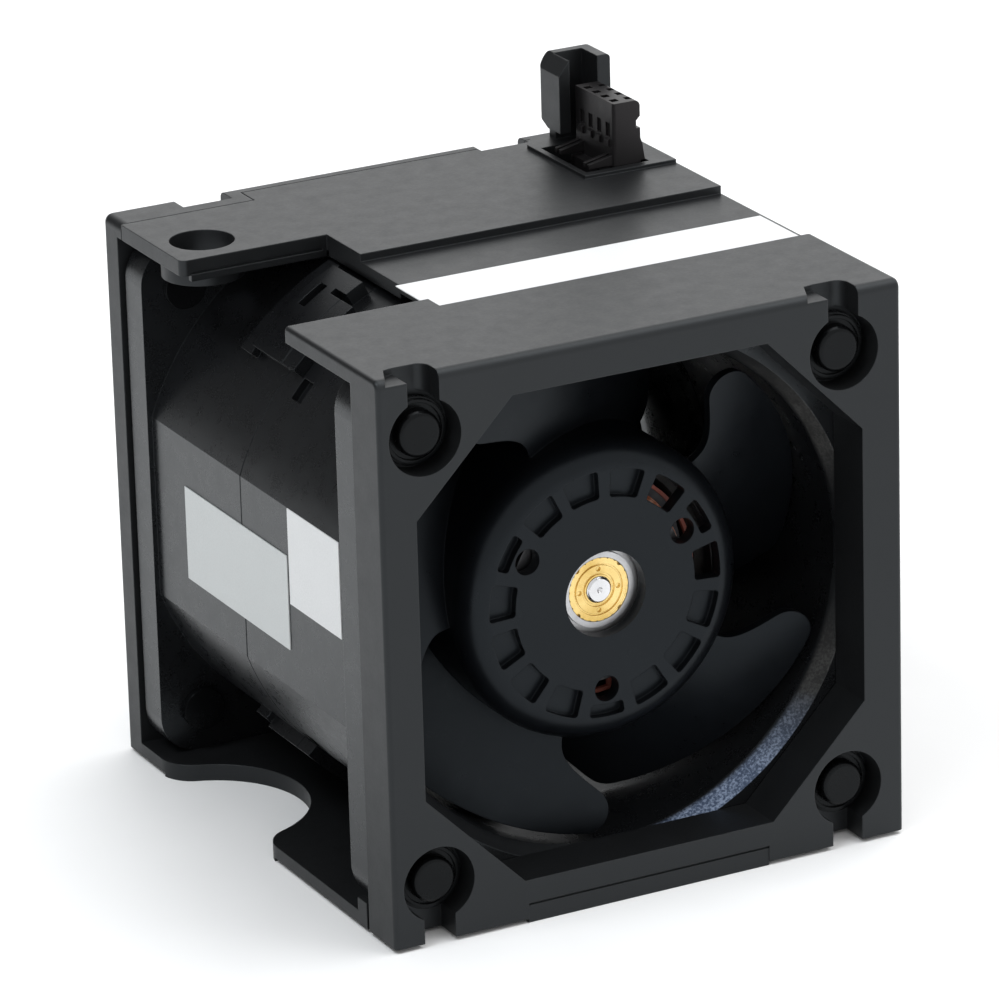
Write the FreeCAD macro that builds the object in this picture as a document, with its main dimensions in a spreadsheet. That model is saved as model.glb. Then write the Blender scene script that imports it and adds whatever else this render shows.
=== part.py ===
import FreeCAD, Part
import os, math
import Sketcher

# Server fan module: a 60 mm class pair of counter-rotating axial fans in a
# two-shell carrier with a blind-mate connector and a guard post on top.
# Frame: +Z up, +Y from the air inlet face to the outlet face, +X to the
# connector side.  Origin at the middle of the underside.  Millimetres.

os.makedirs("parts", exist_ok=True)
doc = FreeCAD.newDocument("ServerFanModule")
V = FreeCAD.Vector
Rot = FreeCAD.Rotation
Pl = FreeCAD.Placement

# ---------------------------------------------------------------- sheet
SIZES = [
    # carrier
    ("body_width", 62.4, "carrier width in X"),
    ("body_depth", 66.8, "carrier depth in Y"),
    ("rim_drop", 0.45, "height of the finger rims and the foot pad below the bottom plate"),
    ("plate_bottom", 1.5, "bottom plate thickness"),
    ("plate_top", 1.8, "top plate thickness"),
    ("top_level", 63.9, "upper surface of the top plate"),
    ("front_thick", 6.1, "front plate thickness"),
    ("rear_thick", 3.8, "rear plate thickness"),
    ("edge_round", 1.0, "outer edge rounding of the plates"),
    ("key_dia", 8.4, "keyhole circle diameter"),
    ("key_slot", 3.7, "keyhole slot width"),
    ("key_deep", 3.4, "keyhole depth"),
    ("stem_dia", 4.3, "isolator stem hole diameter"),
    ("oct_half_wide", 26.75, "half width of the air opening"),
    ("oct_half_high", 27.35, "half height of the air opening"),
    ("oct_flat_wide", 15.2, "half length of the opening's top and bottom sides"),
    ("oct_flat_high", 15.65, "half length of the opening's left and right sides"),
    ("oct_mid_x", -0.35, "X of the opening's middle"),
    ("oct_mid_z", 32.3, "Z of the opening's middle"),
    ("cut_right", -13.6, "X of the top cut-out's inner side"),
    ("cut_front", -12.3, "Y of the top cut-out's front side"),
    ("cut_rear", 13.1, "Y of the top cut-out's rear side"),
    ("recess_front", -14.9, "Y where the label recess starts"),
    ("recess_rear", 5.0, "Y where the label recess ends"),
    ("recess_deep", 0.9, "label recess depth"),
    ("hole_x", -26.0, "X of the locating hole"),
    ("hole_y", 18.7, "Y of the locating hole"),
    ("hole_dia", 7.2, "locating hole diameter"),
    ("pad_left", 19.6, "X of the connector pad's left side"),
    ("pad_front", 15.1, "Y of the connector pad's front side"),
    ("pad_rear", 32.2, "Y of the connector pad's rear side"),
    ("pad_high", 0.4, "height of the connector pad"),
    ("port_left", 20.35, "X of the connector port's left side"),
    ("port_right", 28.35, "X of the connector port's right side"),
    ("port_front", 16.2, "Y of the connector port's front side"),
    ("port_rear", 26.9, "Y of the connector port's rear side"),
    ("guard_left", 22.1, "X of the guard post's left side"),
    ("guard_right", 28.65, "X of the guard post's right side"),
    ("guard_front", 25.45, "Y of the guard post's front ends"),
    ("guard_rear", 30.6, "Y of the guard post's back"),
    ("guard_wall", 1.35, "guard post wall"),
    ("guard_top", 74.45, "level of the guard post's top"),
    ("notch_rad", 11.6, "finger notch radius"),
    ("notch_y", 9.6, "Y of the finger notch centre"),
    ("notch_out", 1.5, "distance of the notch centre outside the side"),
    ("notch_mouth", 4.0, "rounding of the finger notch's mouth"),
    ("rim_wide", 2.5, "width of the rim round the finger notch"),
    # fan frame
    ("fan_x", -0.8, "X of the fan axis"),
    ("fan_z", 31.95, "Z of the fan axis"),
    ("fan_size", 60.0, "fan flange width"),
    ("hole_pitch", 50.0, "fan mounting hole pitch"),
    ("fan_front", -27.2, "Y of the fan's front face"),
    ("fan_rear", 28.8, "Y of the fan's rear face"),
    ("seam_y", 2.5, "Y of the seam between the frame halves"),
    ("lead_y", 1.1, "Y of the plane between the two rows of motor leads"),
    ("flange_front", 4.6, "front flange thickness"),
    ("flange_rear", 4.1, "rear flange thickness"),
    ("flange_round", 4.5, "flange corner radius"),
    ("duct_rad", 28.5, "air duct radius"),
    ("tube_rad", 31.2, "outer radius of the frame between the flanges"),
    ("tube_half", 29.4, "half width over the flats of the frame"),
    # rotors and motors
    ("face_front", -25.4, "Y of the front hub's face"),
    ("face_rear", 27.0, "Y of the rear hub's face"),
    ("hub_rad", 17.0, "hub radius"),
    ("hub_shoulder", 3.1, "rounding of the hub's front shoulder"),
    ("hub_deep", 17.6, "hub depth"),
    ("tip_rad", 27.9, "blade tip radius"),
    ("blade_thick", 1.25, "blade thickness"),
    ("bore_rad", 4.85, "hub's central bore radius"),
    ("yoke_rad", 15.95, "rotor yoke outer radius"),
    ("yoke_wall", 0.9, "rotor yoke wall"),
    ("magnet_rad", 15.0, "magnet outer radius"),
    ("magnet_in", 13.4, "magnet inner radius"),
    ("core_rad", 12.9, "stator core radius"),
    ("core_thick", 8.0, "stator core thickness"),
    ("shaft_rad", 1.49, "shaft radius"),
    ("bearing_in", 1.5, "bearing bore radius"),
    ("bearing_out", 4.0, "bearing outer radius"),
    ("bearing_wide", 4.0, "bearing width"),
    ("tubeb_rad", 5.0, "bearing tube outer radius"),
    ("bush_rad", 3.6, "brass bushing radius"),
    ("lead_dia", 1.0, "motor lead diameter"),
    # connector
    ("conn_left", 24.0, "X of the connector's left side"),
    ("conn_right", 27.4, "X of the connector's right side"),
    ("conn_front", 16.4, "Y of the connector's front side"),
    ("conn_rear", 25.2, "Y of the connector's rear side"),
    ("conn_top", 71.55, "level of the connector's top"),
    ("conn_low", 60.4, "level of the connector's lower end"),
    ("pin_pitch", 2.0, "connector pin pitch along Y"),
    ("pin_rows", 1.8, "distance between the two pin rows"),
    # labels
    ("label_thick", 0.12, "label thickness"),
]
sheet = doc.addObject("Spreadsheet::Sheet", "Sizes")
for i, (name, value, note) in enumerate(SIZES):
    r = i + 1
    sheet.set("A%d" % r, repr(float(value)))
    sheet.setAlias("A%d" % r, name)
    sheet.set("B%d" % r, note)
doc.recompute()


# A size that knows both its number and its spreadsheet expression.
class Q:
    def __init__(self, value, expr):
        self.v = float(value)
        self.e = expr

    @staticmethod
    def of(o):
        return o if isinstance(o, Q) else Q(o, "(%.6f)" % float(o))

    def __add__(self, o):
        o = Q.of(o)
        return Q(self.v + o.v, "(%s + %s)" % (self.e, o.e))

    __radd__ = __add__

    def __sub__(self, o):
        o = Q.of(o)
        return Q(self.v - o.v, "(%s - %s)" % (self.e, o.e))

    def __rsub__(self, o):
        return Q.of(o) - self

    def __mul__(self, o):
        o = Q.of(o)
        return Q(self.v * o.v, "(%s * %s)" % (self.e, o.e))

    __rmul__ = __mul__

    def __truediv__(self, o):
        o = Q.of(o)
        return Q(self.v / o.v, "(%s / %s)" % (self.e, o.e))

    def __neg__(self):
        return Q(-self.v, "(0 - %s)" % self.e)

    def root(self):
        return Q(math.sqrt(self.v), "sqrt(%s)" % self.e)


P = {name: Q(sheet.get(name), "Sizes." + name) for name, value, note in SIZES}
S = {name: float(sheet.get(name)) for name, value, note in SIZES}
nodes = []          # (label, object)


def bind(obj, prop, q):
    obj.setExpression(prop, Q.of(q).e)


def new_body(label):
    b = doc.addObject("PartDesign::Body", "Body_" + label)
    b.Label = label
    return b


def plane(body, role):
    return [o for o in body.Origin.OriginFeatures if o.Role == role][0]


# XY: local (x, y) = (X, Y), offset up +Z.  XZ: local (x, y) = (X, Z),
# offset towards -Y.  YZ: local (x, y) = (Y, Z), offset towards +X.
def new_sketch(body, name, role, offset=0.0):
    sk = body.newObject("Sketcher::SketchObject", name)
    sk.AttachmentSupport = [(plane(body, role), "")]
    sk.MapMode = "FlatFace"
    q = Q.of(offset)
    sk.AttachmentOffset = Pl(V(0, 0, q.v), Rot())
    bind(sk, "AttachmentOffset.Base.z", q)
    return sk


def fix(sk, gi, pos, qx, qy):
    for kind, q in (("DistanceX", Q.of(qx)), ("DistanceY", Q.of(qy))):
        k = sk.addConstraint(Sketcher.Constraint(kind, -1, 1, gi, pos, q.v))
        sk.setExpression("Constraints[%d]" % k, q.e)


def poly(sk, pts):
    g0 = sk.GeometryCount
    n = len(pts)
    for i in range(n):
        a, c = pts[i], pts[(i + 1) % n]
        sk.addGeometry(Part.LineSegment(V(Q.of(a[0]).v, Q.of(a[1]).v, 0),
                                        V(Q.of(c[0]).v, Q.of(c[1]).v, 0)), False)
    for i in range(n):
        sk.addConstraint(Sketcher.Constraint("Coincident", g0 + i, 2, g0 + (i + 1) % n, 1))
    for i in range(n):
        fix(sk, g0 + i, 1, pts[i][0], pts[i][1])


def rect(sk, x0, y0, x1, y1):
    poly(sk, [(x0, y0), (x1, y0), (x1, y1), (x0, y1)])


# A closed outline of lines and arcs.  Each entry is (x, y) for a corner;
# an entry (x, y, cx, cy, r, turn) ends the arc that starts at the corner
# before it, turn = 1 counter-clockwise.
def outline(sk, steps):
    g0 = sk.GeometryCount
    n = len(steps)
    ends = []
    for i in range(n):
        a, c = steps[i - 1], steps[i]
        pa = V(Q.of(a[0]).v, Q.of(a[1]).v, 0)
        pc = V(Q.of(c[0]).v, Q.of(c[1]).v, 0)
        if len(c) == 2:
            sk.addGeometry(Part.LineSegment(pa, pc), False)
            ends.append((1, 2))
        else:
            ctr = V(Q.of(c[2]).v, Q.of(c[3]).v, 0)
            t0 = math.atan2(pa.y - ctr.y, pa.x - ctr.x)
            t1 = math.atan2(pc.y - ctr.y, pc.x - ctr.x)
            if c[5] < 0:
                t0, t1 = t1, t0
            if t1 < t0:
                t1 += 2 * math.pi
            sk.addGeometry(Part.ArcOfCircle(Part.Circle(ctr, V(0, 0, 1), Q.of(c[4]).v), t0, t1), False)
            ends.append((1, 2) if c[5] > 0 else (2, 1))
    for i in range(n):
        k = (i + 1) % n
        sk.addConstraint(Sketcher.Constraint("Coincident", g0 + i, ends[i][1], g0 + k, ends[k][0]))
    for i in range(n):
        fix(sk, g0 + i, ends[i][1], steps[i][0], steps[i][1])
        if len(steps[i]) > 2:
            r = Q.of(steps[i][4])
            k = sk.addConstraint(Sketcher.Constraint("Radius", g0 + i, r.v))
            sk.setExpression("Constraints[%d]" % k, r.e)


def circle(sk, cx, cy, r):
    cx, cy, r = Q.of(cx), Q.of(cy), Q.of(r)
    g = sk.addGeometry(Part.Circle(V(cx.v, cy.v, 0), V(0, 0, 1), r.v), False)
    fix(sk, g, 3, cx, cy)
    k = sk.addConstraint(Sketcher.Constraint("Radius", g, r.v))
    sk.setExpression("Constraints[%d]" % k, r.e)


def pad(body, sk, length, reverse=False):
    f = body.newObject("PartDesign::Pad", "Pad_" + sk.Name)
    f.Profile = sk
    f.Length = Q.of(length).v
    bind(f, "Length", length)
    f.Reversed = reverse
    doc.recompute()
    return f


def pocket(body, sk, length, reverse=False):
    before = body.Shape.Volume
    f = body.newObject("PartDesign::Pocket", "Pocket_" + sk.Name)
    f.Profile = sk
    f.Length = Q.of(length).v
    bind(f, "Length", length)
    f.Reversed = reverse
    doc.recompute()
    if not body.Shape.Volume < before - 1e-3:
        raise RuntimeError("pocket cut nothing: " + sk.Name)
    return f


def edges_where(shape, test):
    out = []
    for i, e in enumerate(shape.Edges):
        if test(e):
            out.append("Edge%d" % (i + 1))
    return out


def body_fillet(body, name, test, radius):
    tip = body.Tip
    names = edges_where(tip.Shape, test)
    if not names:
        raise RuntimeError("no edges for " + name)
    f = body.newObject("PartDesign::Fillet", name)
    f.Base = (tip, names)
    f.Radius = Q.of(radius).v
    bind(f, "Radius", radius)
    doc.recompute()
    if f.Shape.isNull() or not f.Shape.isValid() or "Invalid" in f.State:
        raise RuntimeError("fillet failed: " + name)
    return f


def near(a, b, tol=0.02):
    return abs(a - b) < tol


def straight(e, axis):
    if len(e.Vertexes) != 2 or e.Curve.TypeId != "Part::GeomLine":
        return False
    a, b = e.Vertexes[0].Point, e.Vertexes[1].Point
    d = b - a
    return d.Length > 1e-6 and abs(abs(d[axis]) - d.Length) < 1e-6


def keep(label, obj):
    nodes.append((label, obj))
    return obj


# Part workbench helpers: every one is bound to the sheet.
def box(name, x0, y0, z0, x1, y1, z1):
    o = doc.addObject("Part::Box", name)
    for prop, q in (("Length", x1 - x0), ("Width", y1 - y0), ("Height", z1 - z0)):
        setattr(o, prop, Q.of(q).v)
        bind(o, prop, q)
    o.Placement = Pl(V(Q.of(x0).v, Q.of(y0).v, Q.of(z0).v), Rot())
    for ax, q in (("x", x0), ("y", y0), ("z", z0)):
        bind(o, "Placement.Base." + ax, q)
    return o


def ycyl(name, rad, x, y0, z, length):
    o = doc.addObject("Part::Cylinder", name)
    o.Radius = Q.of(rad).v
    o.Height = Q.of(length).v
    bind(o, "Radius", rad)
    bind(o, "Height", length)
    o.Placement = Pl(V(Q.of(x).v, Q.of(y0).v, Q.of(z).v), Rot(V(1, 0, 0), -90))
    for ax, q in (("x", x), ("y", y0), ("z", z)):
        bind(o, "Placement.Base." + ax, q)
    return o


def cut(name, base, tool):
    o = doc.addObject("Part::Cut", name)
    o.Base, o.Tool = base, tool
    return o


def fuse(name, objs):
    o = doc.addObject("Part::MultiFuse", name)
    o.Shapes = objs
    return o


def feature(label, shape):
    o = doc.addObject("Part::Feature", "F_" + label)
    o.Label = label
    o.Shape = shape
    o.Placement = shape.Placement
    return keep(label, o)


def named(label, obj):
    obj.Label = label
    return keep(label, obj)


W2 = P["body_width"] / 2
D2 = P["body_depth"] / 2
FX, FZ = P["fan_x"], P["fan_z"]
HALF_PITCH = P["hole_pitch"] / 2
Z_LOW = P["rim_drop"]
Z_TOP = P["top_level"]
Z_UNDER = P["top_level"] - P["plate_top"]
Z_FLOOR = P["rim_drop"] + P["plate_bottom"]

# ------------------------------------------------ front shell of the carrier
b = new_body("carrier_front_shell")
sk = new_sketch(b, "FrontPlate", "XZ_Plane", D2)
rect(sk, -W2, Z_LOW, W2, Z_TOP)
pad(b, sk, P["front_thick"], True)
# top plate with the cut-out at the left; behind it a narrower tongue runs
# over the rear plate
sk = new_sketch(b, "TopPlate", "XY_Plane", Z_UNDER)
poly(sk, [(-W2, -D2), (W2, -D2), (W2, D2 - 1.9), (Q.of(20.8), D2 - 1.9), (Q.of(20.8), D2 - 2.6),
          (Q.of(14.8), D2 - 2.6), (Q.of(14.8), D2 - 1.9), (Q.of(-14.9), D2 - 1.9), (Q.of(-14.9), D2 - 5.1),
          (-W2, D2 - 5.1), (-W2, P["cut_rear"]), (P["cut_right"], P["cut_rear"]),
          (P["cut_right"], P["cut_front"]), (-W2, P["cut_front"])])
pad(b, sk, P["plate_top"])
# stiffening lips under the cut-out's rear and right sides
sk = new_sketch(b, "CutLips", "XY_Plane", Z_UNDER)
rect(sk, P["cut_right"], P["cut_front"] + 8, P["cut_right"] + 1.3, P["cut_rear"] - 0.4)
pad(b, sk, 0.6, True)
# lip under the tab's front edge and a boss round the locating hole
sk = new_sketch(b, "TabLip", "XY_Plane", Z_UNDER)
rect(sk, 1.2 - W2, P["cut_rear"], P["cut_right"], P["cut_rear"] + 0.7)
pad(b, sk, 0.7, True)
sk = new_sketch(b, "TabLine", "XZ_Plane", -P["cut_rear"])
rect(sk, 1.2 - W2, Z_UNDER + 0.1, P["cut_right"] - 0.6, Z_UNDER + 0.35)
pocket(b, sk, 0.3)
sk = new_sketch(b, "HoleBoss", "XY_Plane", Z_UNDER)
circle(sk, P["hole_x"], P["hole_y"], P["hole_dia"] / 2 + 1.0)
pad(b, sk, 2.0, True)
# air opening
sk = new_sketch(b, "AirOpening", "XZ_Plane", D2)
ox, oz = P["oct_mid_x"], P["oct_mid_z"]
aw, ah, fw, fh = P["oct_half_wide"], P["oct_half_high"], P["oct_flat_wide"], P["oct_flat_high"]
poly(sk, [(ox - fw, oz - ah), (ox + fw, oz - ah), (ox + aw, oz - fh), (ox + aw, oz + fh),
          (ox + fw, oz + ah), (ox - fw, oz + ah), (ox - aw, oz + fh), (ox - aw, oz - fh)])
pocket(b, sk, P["front_thick"] + 0.5)
# keyholes: a round pocket and a slot to the nearest edge
for n, (sx, sz) in enumerate(((-1, 1), (1, 1), (-1, -1), (1, -1))):
    cx, cz = FX + sx * HALF_PITCH, FZ + sz * HALF_PITCH
    sk = new_sketch(b, "KeyRound%d" % n, "XZ_Plane", D2)
    circle(sk, cx, cz, P["key_dia"] / 2)
    pocket(b, sk, P["key_deep"])
    hw = P["key_slot"] / 2
    xm = cx - 0.05
    rr, kd = Q.of(1.3), P["key_deep"]
    if sz > 0:
        # drawn from above: the slot's inner right corner is rounded
        sk = new_sketch(b, "KeySlot%d" % n, "XY_Plane", Z_TOP + 1)
        outline(sk, [(xm - hw, -D2 - 1), (xm + hw, -D2 - 1), (xm + hw, kd - D2 - rr),
                     (xm + hw - rr, kd - D2, xm + hw - rr, kd - D2 - rr, rr, 1), (xm - hw, kd - D2)])
        pocket(b, sk, Z_TOP + 1 - cz)
    else:
        sk = new_sketch(b, "KeySlot%d" % n, "XZ_Plane", D2)
        rect(sk, xm - hw, Z_LOW - 1, xm + hw, cz)
        pocket(b, sk, kd)
    sk = new_sketch(b, "KeyStem%d" % n, "XZ_Plane", D2)
    circle(sk, cx, cz, P["stem_dia"] / 2)
    pocket(b, sk, P["front_thick"] + 0.5)
# shallow lead-in beside the upper slots
for n, sx in enumerate((-1, 1)):
    cx = FX + sx * HALF_PITCH
    sk = new_sketch(b, "LeadIn%d" % n, "XY_Plane", Z_TOP)
    poly(sk, [(cx - 4.6, -D2 - 0.5), (cx - 1.9, -D2 - 0.5), (cx - 1.9, P["key_deep"] - D2),
              (cx - 3.0, P["key_deep"] - D2 - 0.2)])
    pocket(b, sk, 0.7)
# label recess, open at the right side
sk = new_sketch(b, "LabelRecess", "XY_Plane", Z_TOP)
rect(sk, P["cut_right"] - 0.7, P["recess_front"], W2 + 1, P["recess_rear"])
pocket(b, sk, P["recess_deep"])
# locating hole in the rear left tab
sk = new_sketch(b, "LocatingHole", "XY_Plane", Z_TOP)
circle(sk, P["hole_x"], P["hole_y"], P["hole_dia"] / 2)
pocket(b, sk, P["plate_top"] + 3)
# connector pad
sk = new_sketch(b, "ConnectorPad", "XY_Plane", Z_TOP)
poly(sk, [(P["pad_left"], P["pad_front"]), (W2, P["pad_front"]), (W2, P["pad_rear"] - 0.8),
          (P["pad_left"] + 2, P["pad_rear"] - 0.8), (P["pad_left"], P["pad_rear"] - 3.4)])
pad(b, sk, P["pad_high"])
# guard post: three walls round the mating plug's end, ears chamfered
gl, gr, gf, gb, gw = P["guard_left"], P["guard_right"], P["guard_front"], P["guard_rear"], P["guard_wall"]
sk = new_sketch(b, "GuardPost", "XY_Plane", Z_TOP)
poly(sk, [(gl, gf), (gl + gw, gf), (gl + gw, gb - 1.5), (gr - 1.65, gb - 1.5), (gr - 1.65, gf), (gr, gf),
          (gr, gb), (gl, gb)])
pad(b, sk, P["guard_top"] - Z_TOP)
sk = new_sketch(b, "EarChamfer", "XZ_Plane", 1 - gf)
poly(sk, [(gl - 0.1, P["guard_top"] - 1.85), (gl + 1.45, P["guard_top"] + 0.1), (gl - 0.1, P["guard_top"] + 0.1)])
pocket(b, sk, 8.0)
# the left wall hangs clear of the pad, its lower rear corner cut off
sk = new_sketch(b, "GuardFoot", "YZ_Plane", gl + gw)
poly(sk, [(gf - 0.5, Z_TOP + P["pad_high"]), (gb + 0.5, Z_TOP + P["pad_high"]), (gb + 0.5, Z_TOP + 3.4),
          (gb - 2.2, Z_TOP + 2.1), (gf - 0.5, Z_TOP + 2.1)])
pocket(b, sk, gw + 1)
# port for the connector, reaching under the guard's front ends
sk = new_sketch(b, "Port", "XY_Plane", Z_TOP + 2.1)
rect(sk, P["port_left"], P["port_front"], P["port_right"], P["port_rear"])
pocket(b, sk, P["plate_top"] + 3)
# bottom edge of the front plate: shallow groove and foot pad
sk = new_sketch(b, "FootPad", "XZ_Plane", D2)
rect(sk, Q.of(-15.2), Q.of(0), Q.of(14.3), Z_LOW + 0.3)
pad(b, sk, P["front_thick"], True)
sk = new_sketch(b, "BottomGroove", "XZ_Plane", D2)
rect(sk, Q.of(-15.2), Z_LOW + 1.55, Q.of(14.3), Z_LOW + 1.85)
pocket(b, sk, 0.35)
sk = new_sketch(b, "BottomFace", "XZ_Plane", D2)
rect(sk, Q.of(-15.2), Q.of(-0.5), Q.of(14.3), Z_LOW + 1.6)
pocket(b, sk, 0.12)
# rounding
hw_, d_ = S["body_width"] / 2, S["body_depth"] / 2
body_fillet(b, "RoundFrontTop", lambda e: straight(e, 0) and near(e.Vertexes[0].Z, S["top_level"]) and
            near(e.Vertexes[0].Y, -d_), P["edge_round"])
body_fillet(b, "RoundSides", lambda e: straight(e, 2) and near(abs(e.Vertexes[0].X), hw_) and
            near(e.Vertexes[0].Y, -d_) and e.Length > 30, 0.5)
body_fillet(b, "RoundGuard", lambda e: straight(e, 2) and near(e.Vertexes[0].X, S["guard_left"]) and
            near(e.Vertexes[0].Y, S["guard_rear"]), 0.9)
body_fillet(b, "RoundGuardRight", lambda e: straight(e, 2) and near(e.Vertexes[0].X, S["guard_right"]) and
            near(e.Vertexes[0].Y, S["guard_rear"]), 0.6)
body_fillet(b, "RoundGuardTop", lambda e: straight(e, 1) and near(e.Vertexes[0].X, S["guard_right"]) and
            near(e.Vertexes[0].Z, S["guard_top"]), 0.5)
body_fillet(b, "RoundTab", lambda e: straight(e, 2) and near(e.Vertexes[0].X, -hw_) and
            near(e.Vertexes[0].Y, S["cut_rear"]), 0.8)
keep("carrier_front_shell", b)

# ------------------------------------------------- rear shell of the carrier
b = new_body("carrier_rear_shell")
GAP = 0.15
sk = new_sketch(b, "RearPlate", "XZ_Plane", P["rear_thick"] - D2)
rect(sk, -W2, Z_LOW, W2, Z_TOP)
pad(b, sk, P["rear_thick"], True)
# bottom plate
sk = new_sketch(b, "BottomPlate", "XY_Plane", Z_LOW)
rect(sk, -W2, P["front_thick"] - D2 + 0.5, W2, D2)
pad(b, sk, P["plate_bottom"])
# snap tongues that reach the front plate
for n, (x0, x1) in enumerate(((-W2, 0.85 - W2), (W2 - 1.6, W2))):
    sk = new_sketch(b, "Tongue%d" % n, "XY_Plane", Z_FLOOR - 0.1)
    rect(sk, x0, P["front_thick"] - D2 + 0.5, x1, P["front_thick"] - D2 + 2.6)
    pad(b, sk, 1.6)
# rabbets where the top plate lies on the rear plate
sk = new_sketch(b, "Rabbet", "XY_Plane", Z_TOP)
poly(sk, [(-W2 - 1, D2 - 6), (W2 + 1, D2 - 6), (W2 + 1, D2 - 1.9 + GAP), (Q.of(-14.9 - GAP), D2 - 1.9 + GAP),
          (Q.of(-14.9 - GAP), D2 - 5.1 + GAP), (-W2 - 1, D2 - 5.1 + GAP)])
pocket(b, sk, P["plate_top"] + GAP)
# corner block that fills the rear left corner up to the top plate's edge
sk = new_sketch(b, "CornerBlock", "XY_Plane", Z_UNDER)
rect(sk, -W2, D2 - 5.1 + GAP, Q.of(-14.9 - GAP), D2 - P["rear_thick"] + 0.5)
pad(b, sk, P["plate_top"])
# two latch notches in the top edge
for n, (x0, x1, y0) in enumerate(((-22.7, -16.7, 3.1), (14.8, 20.8, 2.4))):
    sk = new_sketch(b, "LatchNotch%d" % n, "XY_Plane", Z_TOP + 0.5)
    rect(sk, Q.of(x0), D2 - y0, Q.of(x1), D2 + 1)
    pocket(b, sk, Q.of(6.5))
# air opening, the same outline as in front
sk = new_sketch(b, "AirOutlet", "XZ_Plane", P["rear_thick"] - D2)
poly(sk, [(ox - fw, oz - ah), (ox + fw, oz - ah), (ox + aw, oz - fh), (ox + aw, oz + fh),
          (ox + fw, oz + ah), (ox - fw, oz + ah), (ox - aw, oz + fh), (ox - aw, oz - fh)])
pocket(b, sk, P["rear_thick"] + 0.5)
# keyholes from the rear side
for n, (sx, sz) in enumerate(((-1, 1), (1, 1), (-1, -1), (1, -1))):
    cx, cz = FX + sx * HALF_PITCH, FZ + sz * HALF_PITCH
    sk = new_sketch(b, "RearRound%d" % n, "XZ_Plane", -D2)
    circle(sk, cx, cz, P["key_dia"] / 2)
    pocket(b, sk, P["rear_thick"] - 1.4, True)
    sk = new_sketch(b, "RearStem%d" % n, "XZ_Plane", -D2)
    circle(sk, cx, cz, P["stem_dia"] / 2)
    pocket(b, sk, P["rear_thick"] + 0.5, True)
# rims round the finger notches, then the notches
for n, sx in enumerate((-1, 1)):
    sk = new_sketch(b, "Rim%d" % n, "XY_Plane", Z_LOW)
    circle(sk, sx * (W2 + P["notch_out"]), P["notch_y"], P["notch_rad"] + P["rim_wide"])
    pad(b, sk, Z_LOW, True)
    sk = new_sketch(b, "RimTrim%d" % n, "XY_Plane", Z_FLOOR + 0.5)
    rect(sk, sx * (W2 + 30) if sx < 0 else W2, P["notch_y"] - 20, -W2 if sx < 0 else W2 + 30, P["notch_y"] + 20)
    pocket(b, sk, Z_FLOOR + 2)
    sk = new_sketch(b, "Notch%d" % n, "XY_Plane", Z_FLOOR + 0.5)
    nr, nm, no, ny = P["notch_rad"], P["notch_mouth"], P["notch_out"], P["notch_y"]
    far = ((nr + nm) * (nr + nm) - (nm + no) * (nm + no)).root()
    share = nr / (nr + nm)
    tx, ty = share * (nm + no) - no, share * far
    edge = -W2 if sx < 0 else W2
    step = -sx
    outline(sk, [(edge - step * 1.0, ny - far), (edge, ny - far),
                 (edge + step * tx, ny - ty, edge + step * nm, ny - far, nm, sx),
                 (edge + step * tx, ny + ty, edge - step * no, ny, nr, -sx),
                 (edge, ny + far, edge + step * nm, ny + far, nm, sx),
                 (edge - step * 1.0, ny + far)])
    pocket(b, sk, Z_FLOOR + 2)
body_fillet(b, "RoundRearTop", lambda e: straight(e, 0) and near(e.Vertexes[0].Z, S["top_level"]) and
            near(e.Vertexes[0].Y, d_), 0.8)
body_fillet(b, "RoundRearSides", lambda e: straight(e, 2) and near(abs(e.Vertexes[0].X), hw_) and
            near(e.Vertexes[0].Y, d_) and e.Length > 30, 1.0)
keep("carrier_rear_shell", b)
doc.recompute()

# ------------------------------------------------------------ connector
b = new_body("connector_housing")
cl, cr, cf, cb = P["conn_left"], P["conn_right"], P["conn_front"], P["conn_rear"]
sk = new_sketch(b, "HousingUpper", "XY_Plane", P["conn_top"])
rect(sk, cl, cf, cr, cb)
pad(b, sk, P["conn_top"] - Z_TOP + 0.6, True)
body_fillet(b, "RoundHousing", lambda e: straight(e, 2) and near(e.Vertexes[0].Y, S["conn_front"]) and
            near(e.Vertexes[0].X, S["conn_left"]), 0.35)
body_fillet(b, "RoundHousingTop", lambda e: straight(e, 1) and near(e.Vertexes[0].X, S["conn_right"]) and
            near(e.Vertexes[0].Z, S["conn_top"]), 0.7)
# step in the right side, below it the side flares out
sk = new_sketch(b, "SideStep", "XZ_Plane", 0.5 - cf)
poly(sk, [(cr + 1, Z_TOP + 5.95), (cr + 0.02, Z_TOP + 5.8), (cr - 0.5, Z_TOP + 5.3), (cr - 0.5, Z_TOP + 4.4),
          (cr + 1, Z_TOP + 4.4)])
pocket(b, sk, cb - cf + 1)
sk = new_sketch(b, "SideFlare", "XZ_Plane", -cf)
poly(sk, [(cr - 0.6, Z_TOP + 4.4), (cr - 0.45, Z_TOP + 4.4), (cr + 0.23, Z_TOP + 2.6), (cr + 0.55, Z_TOP + 0.6),
          (cr - 0.6, Z_TOP + 0.6)])
pad(b, sk, cb - cf - 0.4, True)
sk = new_sketch(b, "HousingLower", "XY_Plane", Z_TOP)
rect(sk, cl - 1.2, cf + 0.1, cr, cb - 0.9)
pad(b, sk, Z_TOP - P["conn_low"], True)
sk = new_sketch(b, "HousingCollar", "XY_Plane", Z_UNDER)
rect(sk, cl - 2.0, cf - 0.9, cr + 0.9, cb - 0.75)
pad(b, sk, 1.2, True)
# two latch arms on the left side, each a pair of ribs rising to the housing
for n, y0 in enumerate((0.35, 1.3, 6.95, 7.9)):
    sk = new_sketch(b, "Arm%d" % n, "XZ_Plane", -(cf + y0))
    poly(sk, [(cl - 3.0, Z_TOP + 0.45), (cl + 0.2, Z_TOP + 0.45), (cl + 0.2, Z_TOP + 1.65), (cl - 3.0, Z_TOP + 0.95)])
    pad(b, sk, 0.5, True)
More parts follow.
